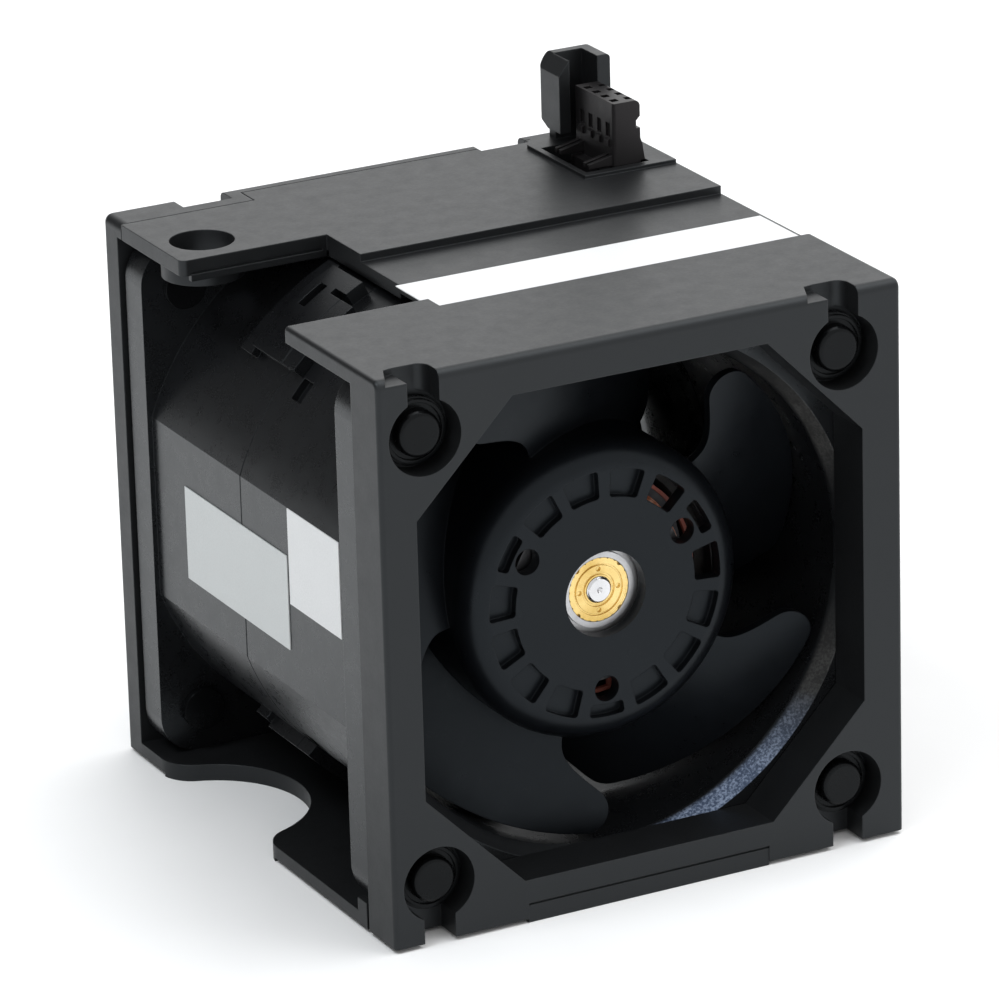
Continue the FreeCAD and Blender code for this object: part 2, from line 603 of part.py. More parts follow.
# locking windows of the contacts in the left face, a small ramp below each
for n in range(4):
    y0 = (cf + cb) / 2 - 0.1 + (n - 1.5) * P["pin_pitch"]
    sk = new_sketch(b, "Window%d" % n, "YZ_Plane", cl)
    rect(sk, y0 - 0.5, Z_TOP + 3.6, y0 + 0.5, Z_TOP + 5.2)
    pocket(b, sk, Q.of(0.28), True)
    sk = new_sketch(b, "Ramp%d" % n, "XZ_Plane", 0.45 - y0)
    poly(sk, [(cl - 0.3, Z_TOP + 2.6), (cl + 0.1, Z_TOP + 2.4), (cl + 0.1, Z_TOP + 3.5), (cl - 0.3, Z_TOP + 3.3)])
    pad(b, sk, 0.9, True)
# cavities for the eight contacts
yc = (cf + cb) / 2
xc = (cl + cr) / 2
sk = new_sketch(b, "Cavities", "XY_Plane", P["conn_top"])
for i in range(4):
    for j in (-1, 1):
        px, py = xc + j * (P["pin_rows"] / 2), yc + (i - 1.5) * P["pin_pitch"] - 0.1
        rect(sk, px - 0.45, py - 0.45, px + 0.45, py + 0.45)
pocket(b, sk, Q.of(9.5))
keep("connector_housing", b)

cons = []
for i in range(4):
    for j in (-1, 1):
        px, py = xc + j * (P["pin_rows"] / 2), yc + (i - 1.5) * P["pin_pitch"] - 0.1
        cons.append(box("Contact%d%s" % (i, "ab"[(j + 1) // 2]), px - 0.3, py - 0.3, P["conn_top"] - 9.4,
                        px + 0.3, py + 0.3, P["conn_top"] - 1.5))
doc.recompute()
grp = doc.addObject("Part::Compound", "ConnectorContacts")
grp.Links = cons
named("connector_contacts", grp)


# ------------------------------------------------ bodies of revolution etc.
# The motor parts are written once in the motor's own coordinate a, the
# distance from the hub's face towards the middle of the module.
def ay(side, a, length=0.0):
    """Lower Y end of a piece that spans a .. a + length."""
    a, length = Q.of(a), Q.of(length)
    if side == "front":
        return P["face_front"] + a
    return P["face_rear"] - a - length


def acyl(name, side, rad, a, length):
    return ycyl(name, rad, FX, ay(side, a, length), FZ, length)


def aring(label, side, r_out, r_in, a, length):
    n = label.replace("_", "")
    o = acyl(n + "Out", side, r_out, a, length)
    t = acyl(n + "In", side, r_in, Q.of(a) - 1, Q.of(length) + 2)
    return cut(n + "Ring", o, t)


fx, fz = S["fan_x"], S["fan_z"]
SIDES = {"front": (S["face_front"], 1.0), "rear": (S["face_rear"], -1.0)}


def yy(side, a):
    f, s = SIDES[side]
    return f + s * a


# solid cylinder between a0 and a1 about the fan axis
def scyl(side, rad, a0, a1, dx=0.0, dz=0.0):
    y0, y1 = sorted((yy(side, a0), yy(side, a1)))
    return Part.makeCylinder(rad, y1 - y0, V(fx + dx, y0, fz + dz), V(0, 1, 0))


def sring(side, r_out, r_in, a0, a1):
    return scyl(side, r_out, a0, a1).cut(scyl(side, r_in, a0 - 1, a1 + 1))


# a sector of a ring; angles in degrees clockwise from up, seen from the front
def sector(side, r_in, r_out, th0, th1, a0, a1):
    y0, y1 = sorted((yy(side, a0), yy(side, a1)))
    n = max(2, int(abs(th1 - th0) / 30) + 2)

    def pt(r, th):
        t = math.radians(th)
        return V(fx + r * math.sin(t), y0, fz + r * math.cos(t))
    mid = (th0 + th1) / 2
    e1 = Part.Arc(pt(r_out, th0), pt(r_out, mid), pt(r_out, th1)).toShape()
    e2 = Part.makeLine(pt(r_out, th1), pt(r_in, th1))
    e3 = Part.Arc(pt(r_in, th1), pt(r_in, mid), pt(r_in, th0)).toShape()
    e4 = Part.makeLine(pt(r_in, th0), pt(r_out, th0))
    return Part.Face(Part.Wire([e1, e2, e3, e4])).extrude(V(0, y1 - y0, 0))


# a bar along a radius
def spoke(side, th, r0, r1, wide, a0, a1):
    y0, y1 = sorted((yy(side, a0), yy(side, a1)))
    s = Part.makeBox(wide, y1 - y0, r1 - r0, V(-wide / 2, 0, r0))
    s.rotate(V(0, 0, 0), V(0, 1, 0), th)
    s.translate(V(fx, y0, fz))
    return s


# ------------------------------------------------------------ impellers
# One blade: a cambered slab cut to its outline.  hand = 1 leads with falling
# clock angle seen from the front, hand = -1 is its mirror image.  The leading
# edge leaves the hub along a radius and then sweeps forward to the tip.
ROOT = 15.9
LEAD = [(15.9, 0.0), (17.0, 0.0), (19.0, -0.6), (20.3, -3.0), (21.5, -6.4), (23.75, -12.7), (26.0, -17.2), (27.9, -20.0)]
TRAIL = [(15.9, 68.5), (17.0, 68.5), (18.4, 68.0), (19.8, 65.3), (21.5, 61.2), (23.2, 57.6), (25.5, 53.0), (27.9, 49.5)]


def along(table, r):
    if r <= table[0][0]:
        return table[0][1]
    for (r0, v0), (r1, v1) in zip(table, table[1:]):
        if r <= r1:
            return v0 + (v1 - v0) * (r - r0) / (r1 - r0)
    return table[-1][1] + (r - table[-1][0]) * (table[-1][1] - table[-2][1]) / (table[-1][0] - table[-2][0])


# Height of the blade surface: a at the leading and trailing edge runs from
# its hub value to its tip value.
def camber(r, th, rise, chord):
    k = (r - S["hub_rad"]) / (S["tip_rad"] - S["hub_rad"])
    le = -20.0 * k
    te = (68.5 + (49.5 - 68.5) * k) * chord
    t = (th - le) / (te - le)
    (h0, h1), (t0, t1) = rise
    a_le = h0 + (t0 - h0) * k
    a_te = h1 + (t1 - h1) * k
    return a_le + (a_te - a_le) * (0.44 * t + 0.56 * t * t)


def make_blade(side, th0, hand, rise, chord):
    thick = S["blade_thick"]
    mid = 25.0 * chord
    wires = []
    for p in (9.0, 13.0, 17.0, 21.0, 25.0, 29.5):
        up, lo = [], []
        n = 13
        smax = p * math.tan(math.radians(56.0)) if p < 20 else 28.0
        for i in range(n):
            s = -smax + 2 * smax * i / (n - 1)
            th = mid + math.degrees(math.atan2(s, p))
            r = math.hypot(s, p)
            a = camber(min(max(r, 14.0), 30.0), th, rise, chord)
            x = hand * s
            y = yy(side, a)
            up.append(V(x, y - thick / 2, p))
            lo.append(V(x, y + thick / 2, p))
        c1 = Part.BSplineCurve()
        c1.interpolate(up)
        c2 = Part.BSplineCurve()
        c2.interpolate(list(reversed(lo)))
        wires.append(Part.Wire([c1.toShape(), Part.makeLine(up[-1], lo[-1]), c2.toShape(),
                                Part.makeLine(lo[0], up[0])]))
    slab = Part.makeLoft(wires, True, False)
    # outline in the plane across the axis
    rt = S["tip_rad"]

    def pt(r, th):
        t = math.radians(th - mid)
        return V(hand * r * math.sin(t), -60, r * math.cos(t))
    le_pts = [pt(r, v) for r, v in LEAD]
    te_pts = [pt(r, v * chord) for r, v in TRAIL]
    le = Part.BSplineCurve()
    le.interpolate(le_pts)
    te = Part.BSplineCurve()
    te.interpolate(list(reversed(te_pts)))
    l1, t1 = LEAD[-1][1], TRAIL[-1][1] * chord
    l0, t0 = LEAD[0][1], TRAIL[0][1] * chord
    tip = Part.Arc(pt(rt, l1), pt(rt, (l1 + t1) / 2), pt(rt, t1)).toShape()
    root = Part.Arc(pt(ROOT, t0), pt(ROOT, (l0 + t0) / 2), pt(ROOT, l0)).toShape()
    outline = Part.Wire([le.toShape(), tip, te.toShape(), root])
    prism = Part.Face(outline).extrude(V(0, 120, 0))
    corner = []
    for e in prism.Edges:
        if straight(e, 1):
            v = e.Vertexes[0].Point
            if near(math.hypot(v.x, v.z), rt, 0.05):
                corner.append(e)
    prism = prism.makeFillet(2.6, corner)
    blade = slab.common(prism)
    blade.rotate(V(0, 0, 0), V(0, 1, 0), hand * mid + th0)
    blade.translate(V(fx, 0, fz))
    return blade


WIN0, WIN_PITCH = 12.6, 24.0


def make_impeller(side, count, th0, hand, rise, chord):
    f, s = SIDES[side]
    rh = S["hub_rad"]
    # hub cup by revolving its section about the fan axis

    def q(r, a):
        return V(r, yy(side, a), 0)
    c = math.sqrt(0.5)
    sr = S["hub_shoulder"]
    rs = rh - sr
    arc = Part.Arc(q(rs, 0.0), q(rs + sr * c, sr - sr * c), q(rh, sr)).toShape()
    es = [Part.makeLine(q(S["bore_rad"], 0), q(rs, 0)), arc,
          Part.makeLine(q(rh, sr), q(rh, S["hub_deep"])),
          Part.makeLine(q(rh, S["hub_deep"]), q(16.02, S["hub_deep"])),
          Part.makeLine(q(16.02, S["hub_deep"]), q(16.02, 2.9)),
          Part.makeLine(q(16.02, 2.9), q(15.0, 1.62)),
          Part.makeLine(q(15.0, 1.62), q(S["bore_rad"], 1.62)),
          Part.makeLine(q(S["bore_rad"], 1.62), q(S["bore_rad"], 0))]
    hub = Part.Face(Part.Wire(es)).revolve(V(0, 0, 0), V(0, 1, 0), 360)
    hub.translate(V(fx, 0, fz))
    if hub.ShapeType != "Solid":
        hub = hub.Solids[0]
    # ring of windows: three open on the windings, the others are blind
    tools = []
    for i in range(15):
        th = WIN0 + i * WIN_PITCH
        r_in = 12.6 if i % 5 == 2 else 10.9
        w = sector(side, r_in, 14.05, th - 8.8, th + 8.8, -1.0, 1.64 if i in (1, 2, 3) else 1.0)
        w = w.makeFillet(0.4, [e for e in w.Edges if straight(e, 1)])
        tools.append(w)
    for th in (60.6, 180.6, 300.6):
        t = math.radians(th)
        tools.append(scyl(side, 1.45, -1.0, 1.62 + 0.02, 10.85 * math.sin(t), 10.85 * math.cos(t)))
    hub = hub.cut(tools)
    blades = [make_blade(side, th0 + i * 360.0 / count, hand, rise, chord) for i in range(count)]
    body = hub.fuse(blades)
    # nothing may stand inside the cup
    inner = Part.Face(Part.makePolygon([q(0, 1.62), q(15.0, 1.62), q(16.02, 2.9), q(16.02, 40), q(0, 40),
                                        q(0, 1.62)])).revolve(V(0, 0, 0), V(0, 1, 0), 360)
    inner.translate(V(fx, 0, fz))
    body = body.cut(inner)
    if len(body.Solids) != 1:
        big = sorted(body.Solids, key=lambda z: z.Volume)
        print("impeller", side, "solids", [round(z.Volume, 2) for z in big])
        body = big[-1]
    return body.removeSplitter().Solids[0]


imp_f = make_impeller("front", 5, 48.6, 1, ((4.3, 15.2), (0.95, 12.4)), 1.0)
feature("front_impeller", imp_f)
imp_r = make_impeller("rear", 4, 20.0, -1, ((15.6, 2.2), (14.6, 1.8)), 1.15)
feature("rear_impeller", imp_r)


# --------------------------------------------------------- fan frame halves
def frame_half(side):
    if side == "front":
        y0, y1, fl = S["fan_front"], S["seam_y"], S["flange_front"]
        fy0, fy1 = y0, y0 + fl
    else:
        y0, y1, fl = S["seam_y"] + 0.05, S["fan_rear"], S["flange_rear"]
        fy0, fy1 = y1 - fl, y1
    h = S["fan_size"] / 2
    fl_box = Part.makeBox(2 * h, fy1 - fy0, 2 * h, V(fx - h, fy0, fz - h))
    fl_box = fl_box.makeFillet(S["flange_round"], [e for e in fl_box.Edges if straight(e, 1)])
    tube = Part.makeCylinder(S["tube_rad"], y1 - y0, V(fx, y0, fz), V(0, 1, 0))
    t = S["tube_half"]
    tube = tube.common(Part.makeBox(2 * t, y1 - y0, 2 * t, V(fx - t, y0, fz - t)))
    body = fl_box.fuse(tube)
    bore = Part.makeCylinder(S["duct_rad"], 80, V(fx, -40, fz), V(0, 1, 0))
    if side == "front":
        mouth = Part.makeCone(29.6, S["duct_rad"], 2.4, V(fx, y0, fz), V(0, 1, 0))
    else:
        mouth = Part.makeCone(S["duct_rad"], 29.4, 2.0, V(fx, y1 - 2.0, fz), V(0, 1, 0))
    body = body.cut([bore, mouth])
    # mounting holes through the flange corners
    for sx in (-1, 1):
        for sz in (-1, 1):
            p = S["hole_pitch"] / 2
            body = body.cut(Part.makeCylinder(2.15, fl + 20, V(fx + sx * p, fy0 - 10, fz + sz * p), V(0, 1, 0)))
    # motor base: recessed plate with a rim, and the central boss
    aseam = (S["seam_y"] - S["face_front"]) if side == "front" else (S["face_rear"] - S["seam_y"] - 0.05)
    base = scyl(side, 17.0, 18.0, aseam).cut(scyl(side, 16.3, 17.0, 20.3))
    base = base.fuse(scyl(side, 6.2, 19.8, 21.0))
    angs = (38, 110, 182, 254, 326) if side == "front" else (38, 128, 218, 308)
    struts = [spoke(side, th, 16.6, 29.0, 1.7 if i else 3.0, 20.5, aseam) for i, th in enumerate(angs)]
    body = body.fuse([base] + struts)
    # bore for the bearing tube, pocket for the shaft end
    body = body.cut([scyl(side, 5.01, 10, 21.5), scyl(side, 3.6, 21.4, 22.8)])
    # the leads drop through a window in the base into a channel along the
    # first strut, open towards the seam and out through the duct wall
    floor = 21.9 if side == "front" else 21.3
    body = body.cut([spoke(side, 38, 8.9, 14.5, 1.5, 17.0, aseam + 1),
                     spoke(side, 38, 14.0, 33.0, 1.5, floor, aseam + 1)])
    # snap clips across the seam: a block on the rear half whose finger lies
    # over the front half, a notch beside it and a rib behind it
    sy = S["seam_y"]
    for th, d in ((313.0, 1), (227.0, -1), (50.0, 1), (133.0, 1)):
        wide = 17.0 if 0 < th < 180 else 22.0

        def piece(r0, r1, u0, u1, y0_, y1_):
            lo, hi = sorted((th + d * u0, th + d * u1))
            return sector("front", r0, r1, lo, hi, y0_ - S["face_front"], y1_ - S["face_front"])
        if side == "front":
            body = body.cut(piece(30.3, 33.0, -4.6, 0.2, sy - 5.4, sy - 3.2))
        else:
            body = body.fuse([piece(30.6, 32.7, 0, wide, sy + 0.05, sy + 7.1),
                              piece(31.26, 32.7, 0, wide - 5.5, sy - 2.9, sy + 0.05),
                              piece(30.6, 32.2, -1.5, wide + 1.0, sy + 7.1, sy + 9.6)])
            body = body.cut([piece(31.0, 33.0, wide - 5.5, wide - 4.0, sy - 3.0, sy + 2.6),
                             piece(31.6, 33.0, wide - 10.5, wide - 4.5, sy + 4.1, sy + 5.6)])
    body = body.removeSplitter()
    sol = sorted(body.Solids, key=lambda z: z.Volume)
    if len(sol) != 1:
        print("frame", side, "solids", [round(z.Volume, 2) for z in sol])
    return sol[-1]


feature("fan_frame_front", frame_half("front"))
feature("fan_frame_rear", frame_half("rear"))

# ------------------------------------------------------------- motor parts
for side in ("front", "rear"):
    # steel yoke: cup with a flat face, three long windows and a collar
    yr, yw = S["yoke_rad"], S["yoke_wall"]
    yoke = sring(side, yr, yr - yw, 1.95, 17.2)
    yoke = yoke.fuse([sring(side, yr, 3.7, 1.95, 2.75), sring(side, 4.3, 3.64, 1.55, 2.75)])
    yoke = yoke.cut(sring(side, yr + 1, yr - 0.9, 1.0, 2.9))
    yoke = yoke.cut([sector(side, 10.6, 14.3, c - 37, c + 37, 0, 2.9) for c in (60.6, 180.6, 300.6)])
    yoke = yoke.cut(sring(side, 20, yr, 0, 30))
    yoke = yoke.fuse(sring(side, yr - 0.9, yr - 1.9, 1.95, 3.4)).fuse(sring(side, yr, yr - yw, 2.9, 17.2))
    yoke = yoke.fuse(sring(side, yr, yr - 1.9, 2.9, 3.5))
    yoke = yoke.removeSplitter()
    feature(side + "_rotor_yoke", sorted(yoke.Solids, key=lambda z: z.Volume)[-1])
    named(side + "_magnet_ring", aring(side + "_magnet", side, P["magnet_rad"], P["magnet_in"], 4.6, 12.3))
    # shaft with a groove for the clip and a centre dimple
    sh = scyl(side, S["shaft_rad"], 1.3, 21.9)
    sh = sh.makeChamfer(0.24, [e for e in sh.Edges if e.Curve.TypeId == "Part::GeomCircle"])
    sh = sh.cut(sring(side, 2.0, 1.2, 20.6, 21.0))
    f, s = SIDES[side]
    dim = Part.makeCone(0.35, 0.0, 0.3, V(fx, yy(side, 1.3), fz), V(0, s, 0))
    sh = sh.cut(dim)
    feature(side + "_shaft", sh)
    # brass bushing with a shallow ring groove in its face
    bu = sring(side, S["bush_rad"], 1.5, 1.6, 4.2)
    bu = bu.cut(sring(side, 1.95, 1.7, 1.5, 1.75))
    bu = bu.cut(sring(side, 2.95, 2.75, 1.5, 1.75))
    marks = []
    for k_ in range(4):
        t_ = math.radians(45.0 + 90.0 * k_)
        marks.append(scyl(side, 0.28, 1.5, 1.8, 2.35 * math.sin(t_ - 0.785), 2.35 * math.cos(t_ - 0.785)))
        marks.append(scyl(side, 0.3, 1.4, 2.0, 3.66 * math.sin(t_), 3.66 * math.cos(t_)))
    for k_ in range(24):
        t_ = math.radians(15.0 * k_ + 4.0)
        marks.append(scyl(side, 0.14, 1.4, 1.9, 3.66 * math.sin(t_), 3.66 * math.cos(t_)))
    bu = bu.cut(marks)
    feature(side + "_brass_bushing", bu)
    # C clip at the shaft's inner end
    clip = sring(side, 2.5, 1.25, 20.65, 20.95).cut(sector(side, 0.5, 3.2, 160, 200, 20, 22))
    feature(side + "_retaining_clip", clip)
    # ball bearings
    outs, balls, ins = [], [], []
    for a0 in (4.9, 16.4):
        a1 = a0 + S["bearing_wide"]
        am = (a0 + a1) / 2
        tor = Part.makeTorus(2.75, 0.56, V(fx, yy(side, am), fz), V(0, 1, 0))
        outs.append(sring(side, S["bearing_out"], 3.15, a0, a1).cut(tor))
        ins.append(sring(side, 2.35, S["bearing_in"], a0, a1).cut(tor))
        for i in range(7):
            t = math.radians(i * 360.0 / 7)
            balls.append(Part.makeSphere(0.5, V(fx + 2.75 * math.sin(t), yy(side, am), fz + 2.75 * math.cos(t))))
    feature(side + "_bearing_outer_rings", Part.makeCompound(outs))
    feature(side + "_bearing_balls", Part.makeCompound(balls))
    feature(side + "_bearing_inner_rings", Part.makeCompound(ins))
    named(side + "_bearing_tube", aring(side + "_btube", side, P["tubeb_rad"], P["bearing_out"] + 0.01, 4.4, 17.0))
    # preload spring between the two outer rings: open coil
    pitch, turns, wire = 2.2, 3, 0.27
    y_s = yy(side, 8.9 + 0.35) if side == "front" else yy(side, 16.4 - 0.35)
    hel = Part.makeLongHelix(pitch, pitch * turns, 3.4)
    prof = Part.makePolygon([V(3.4 - wire, 0, -wire), V(3.4 + wire, 0, -wire), V(3.4 + wire, 0, wire),
                             V(3.4 - wire, 0, wire), V(3.4 - wire, 0, -wire)])
    spring = Part.Wire(hel.Edges).makePipeShell([prof], True, False)
    spring.rotate(V(0, 0, 0), V(1, 0, 0), -90)
    spring.translate(V(fx, y_s, fz))
    feature(side + "_preload_spring", spring)
    # stator core: four poles with wide shoes
    cr_, ca, ct = S["core_rad"], 6.6, S["core_thick"]
    core = sring(side, 7.2, 5.02, ca, ca + ct)
    for th in (65, 155, 245, 335):
        core = core.fuse(spoke(side, th, 6.8, 12.0, 4.6, ca, ca + ct))
        core = core.fuse(sector(side, 11.5, cr_, th - 38, th + 38, ca, ca + ct))
    core = core.removeSplitter()
    feature(side + "_stator_core", core.Solids[0])
    # insulator: end caps on both faces, the outer one with windows that
    # leave a winding open
    cap1 = sring(side, 12.6, 5.2, 3.35, 3.95)
    cap1 = cap1.cut([sector(side, 8.2, 12.2, 27, 102, 3, 4.2), sector(side, 9.5, 12.2, 171, 190, 3, 4.2),
                     sector(side, 9.5, 12.2, 291, 310, 3, 4.2)])
    cap1 = cap1.fuse(sring(side, 6.3, 5.2, 3.9, ca - 0.02))
    cap2 = sring(side, 12.4, 5.2, ca + ct + 3.0, ca + ct + 3.5).fuse(sring(side, 6.3, 5.2, ca + ct + 0.02, ca + ct + 3.1))
    feature(side + "_stator_insulator", Part.makeCompound([cap1.removeSplitter().Solids[0],
                                                          cap2.removeSplitter().Solids[0]]))
    # windings: one coil round each pole neck
    coils = []
    for th in (65, 155, 245, 335):
        outer = Part.makeBox(8.6, ct + 5.2, 4.0, V(-4.3, 0, 7.35))
        outer = outer.makeFillet(1.5, [e for e in outer.Edges if straight(e, 2)])
        inner = Part.makeBox(4.8, ct + 0.2, 6.0, V(-2.4, 2.5, 6.5))
        c = outer.cut(inner)
        y_c = min(yy(side, ca - 2.6), yy(side, ca + ct + 2.6))
        c.rotate(V(0, 0, 0), V(0, 1, 0), th)
        c.translate(V(fx, y_c, fz))
        c = c.common(scyl(side, 11.4, 0, 30))
        coils.append(c.Solids[0])
    feature(side + "_windings", Part.makeCompound(coils))
    # circuit board with a driver chip, a hall sensor and small parts
    pcb = sring(side, 15.7, 5.3, 18.3, 19.3)
    feature(side + "_circuit_board", pcb)
    chips = []
    for (th, r, w_, l_, hgt) in ((150, 10.5, 5.0, 4.4, -0.1), (250, 11.5, 1.8, 2.8, -0.1), (300, 10, 1.2, 2.0, -0.1),
                                 (95, 11, 1.2, 2.0, -0.1)):
        bx = Part.makeBox(w_, 0.55, l_, V(-w_ / 2, -0.275, r - l_ / 2))
        bx.rotate(V(0, 0, 0), V(0, 1, 0), th)
        bx.translate(V(fx, yy(side, 19.3 + 0.276), fz))
        chips.append(bx)
    feature(side + "_board_components", Part.makeCompound(chips))
doc.recompute()


# -------------------------------------------------------------- motor leads
# Straight runs joined by tangent arcs.
def tube_along(points, dia, radius):
    pts = [V(*p) for p in points]
    edges = []
    cur = pts[0]
    for i in range(1, len(pts) - 1):
        a, b_, c = pts[i - 1], pts[i], pts[i + 1]
        d1 = (b_ - a).normalize()
        d2 = (c - b_).normalize()
        ang = d1.getAngle(d2)
        if ang < 1e-3:
            continue
        lim = 0.45 * min((b_ - a).Length, (c - b_).Length)
        t = min(radius * math.tan(ang / 2), lim)
        p1 = b_ - d1 * t
        p2 = b_ + d2 * t
        rr = t / math.tan(ang / 2)
        bis = (d2 - d1).normalize()
        ctr = b_ + bis * (rr / math.cos(ang / 2))
        m = ctr + (b_ - ctr).normalize() * rr
        if (p1 - cur).Length > 1e-5:
            edges.append(Part.LineSegment(cur, p1).toShape())
        edges.append(Part.Arc(p1, m, p2).toShape())
        cur = p2
    edges.append(Part.LineSegment(cur, pts[-1]).toShape())
    path = Part.Wire(edges)
    d = (pts[1] - pts[0]).normalize()
    prof = Part.Wire(Part.makeCircle(dia / 2, pts[0], d))
    t = path.makePipeShell([prof], True, False)
    want = math.pi * dia * dia / 4 * path.Length
    if abs(t.Volume - want) > 0.03 * want:
        raise RuntimeError("lead volume %.3f against %.3f" % (t.Volume, want))
    return t, path.Length


TH = math.radians(38.0)
pitch_y = S["pin_pitch"]
ym = (S["conn_front"] + S["conn_rear"]) / 2 - 0.1
xm_ = (S["conn_left"] + S["conn_right"]) / 2


def rp(r, t_, y):
    return (fx + r * math.sin(TH) + t_ * math.cos(TH), y, fz + r * math.cos(TH) - t_ * math.sin(TH))


lead_len = {}
for side in ("front", "rear"):
    solids = []
    for i in range(4):
        # lead 0 turns first on its way to the connector and lies outermost
        if side == "front":
            r0 = 13.6 - 1.15 * i
            yb = S["lead_y"] - 0.62 - 1.12 * (3 - i)
            ts, zrun, row = -0.65, 58.65, -1
        else:
            r0 = 13.6 - 1.15 * (3 - i)
            yb = S["lead_y"] + 0.67 + 1.12 * i
            ts, zrun, row = 0.65, 57.4, 1
        rrun = 36.7 - 1.1 * i
        ypin = ym + (-1.5 + i) * pitch_y
        yrun = (17.7, 19.4, 20.8, 22.2)[i]
        xrun = 22.6 - 1.2 * i
        xpin = xm_ + row * S["pin_rows"] / 2
        route = [rp(r0, 0, yy(side, 19.32)), rp(r0, 0, yb), rp(31.9, 0, yb), rp(32.9, ts, yb),
                 rp(rrun, ts, yb), rp(rrun, ts, 7.2), (xrun, 13.4, zrun), (xrun, yrun, zrun),
                 (xpin, yrun, zrun), (xpin, ypin, S["conn_low"]),
                 (xpin, ypin + (ypin - yrun) * 0.2, S["conn_low"] + (S["conn_low"] - zrun) * 0.2)]
        t_, ln = tube_along(route, S["lead_dia"], 1.6)
        t_ = t_.cut(Part.makeBox(20, 20, 5, V(xpin - 10, ypin - 10, S["conn_low"])))
        solids.append(t_.Solids[0])
        lead_len.setdefault(side, []).append(round(ln, 1))
    feature(side + "_motor_leads", Part.makeCompound(solids))
print("lead lengths", lead_len)

# ---------------------------------------------------------- rubber isolators
for side in ("front", "rear"):
    sol = []
    for sx in (-1, 1):
        for sz in (-1, 1):
            x = fx + sx * S["hole_pitch"] / 2
            z = fz + sz * S["hole_pitch"] / 2
            if side == "front":
                y_head0 = -S["body_depth"] / 2 + 1.0
                y_head1 = -S["body_depth"] / 2 + S["key_deep"] - 0.05
                y_end = S["fan_front"] + S["flange_front"] + 1.6
                d = 1
                y_face = S["fan_front"]
            else:
                y_head0 = S["body_depth"] / 2 - 0.6
                y_head1 = S["body_depth"] / 2 - (S["rear_thick"] - 1.4) + 0.05
                y_end = S["fan_rear"] - S["flange_rear"] - 1.0
                d = -1
                y_face = S["fan_rear"]

            def cyl(r, a, c):
                lo, hi = min(a, c), max(a, c)
                return Part.makeCylinder(r, hi - lo, V(x, lo, z), V(0, 1, 0))
            # a flange with a thin lip, a dome over it, the stem and the bulb
            flange = cyl(3.75, y_head1 - 0.85 * d, y_head1)
            lip = cyl(3.5, y_head1 - 1.15 * d, y_head1 - 0.8 * d).cut(cyl(3.1, y_head1 - 2 * d, y_head1))
            dome = cyl(2.55, y_head0, y_head1 - 0.5 * d)
            dome = dome.makeFillet(0.6 if d > 0 else 0.35, [e for e in dome.Edges if near(e.BoundBox.YMin, y_head0, 0.01) and
                                         near(e.BoundBox.YMax, y_head0, 0.01)])
            stem = cyl(2.05, y_head1 - 0.5 * d, y_end)
            bulb = cyl(2.45, y_end - (1.5 if d > 0 else 0.95) * d, y_end)
            iso = flange.fuse([lip, dome, stem, bulb]).removeSplitter()
            sol.append(iso.Solids[0])
    feature(side + "_isolators", Part.makeCompound(sol))

# -------------------------------------------------------------------- labels
LT = P["label_thick"]
named("top_label", box("TopLabel", Q.of(-14.2), P["recess_front"] + 0.25, Z_TOP - P["recess_deep"] + 0.005,
                       Q.of(30.7), P["recess_front"] + 10.4, Z_TOP - P["recess_deep"] + 0.005 + LT))
flat_x = FX - P["tube_half"]
named("long_side_label", box("LongLabel", flat_x - 0.005 - LT, Q.of(-8.6), Q.of(26.0), flat_x - 0.005,
                             Q.of(16.7), Q.of(36.8)))
named("short_side_label", box("ShortLabel", flat_x - 0.005 - LT, Q.of(-21.3), Q.of(31.5), flat_x - 0.005,
                              Q.of(-9.1), Q.of(42.4)))
doc.recompute()

# -------------------------------------------------------- checks and export
bad = []
for o in doc.Objects:
    st = o.State
    if "Invalid" in st or "Error" in st:
        bad.append((o.Name, st))
if bad:
    raise RuntimeError("failed objects: %s" % bad)
labels = [n for n, o in nodes]
if len(set(labels)) != len(labels):
    raise RuntimeError("double names")
for name, o in nodes:
    sh = o.Shape
    if sh.isNull() or not sh.isValid() or sh.Volume <= 0:
        raise RuntimeError("bad shape: %s null=%s valid=%s" % (name, sh.isNull(), sh.isValid()))
for name, o in nodes:
    o.Shape.exportStep("parts/%s.step" % name)
    bb = o.Shape.BoundBox
    print("%-26s %2d solids %9.1f mm3  x %.2f %.2f  y %.2f %.2f  z %.2f %.2f" % (
        name, len(o.Shape.Solids), o.Shape.Volume, bb.XMin, bb.XMax, bb.YMin, bb.YMax, bb.ZMin, bb.ZMax))
print(len(nodes), "nodes")
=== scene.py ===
import math
import bpy
import bmesh
from mathutils import Matrix, Vector

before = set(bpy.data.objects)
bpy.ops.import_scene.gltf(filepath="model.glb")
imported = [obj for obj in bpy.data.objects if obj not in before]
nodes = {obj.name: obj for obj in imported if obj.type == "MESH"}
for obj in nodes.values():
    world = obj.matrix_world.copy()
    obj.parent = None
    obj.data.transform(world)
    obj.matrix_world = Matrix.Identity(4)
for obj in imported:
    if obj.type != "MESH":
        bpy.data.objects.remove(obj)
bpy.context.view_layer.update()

FX, FZ = -0.0008, 0.03195          # the fan axis, which runs along Y
YL = -0.02500                        # where the coned mouth of the duct ends
YS = 0.00252                         # the seam between the two frame halves


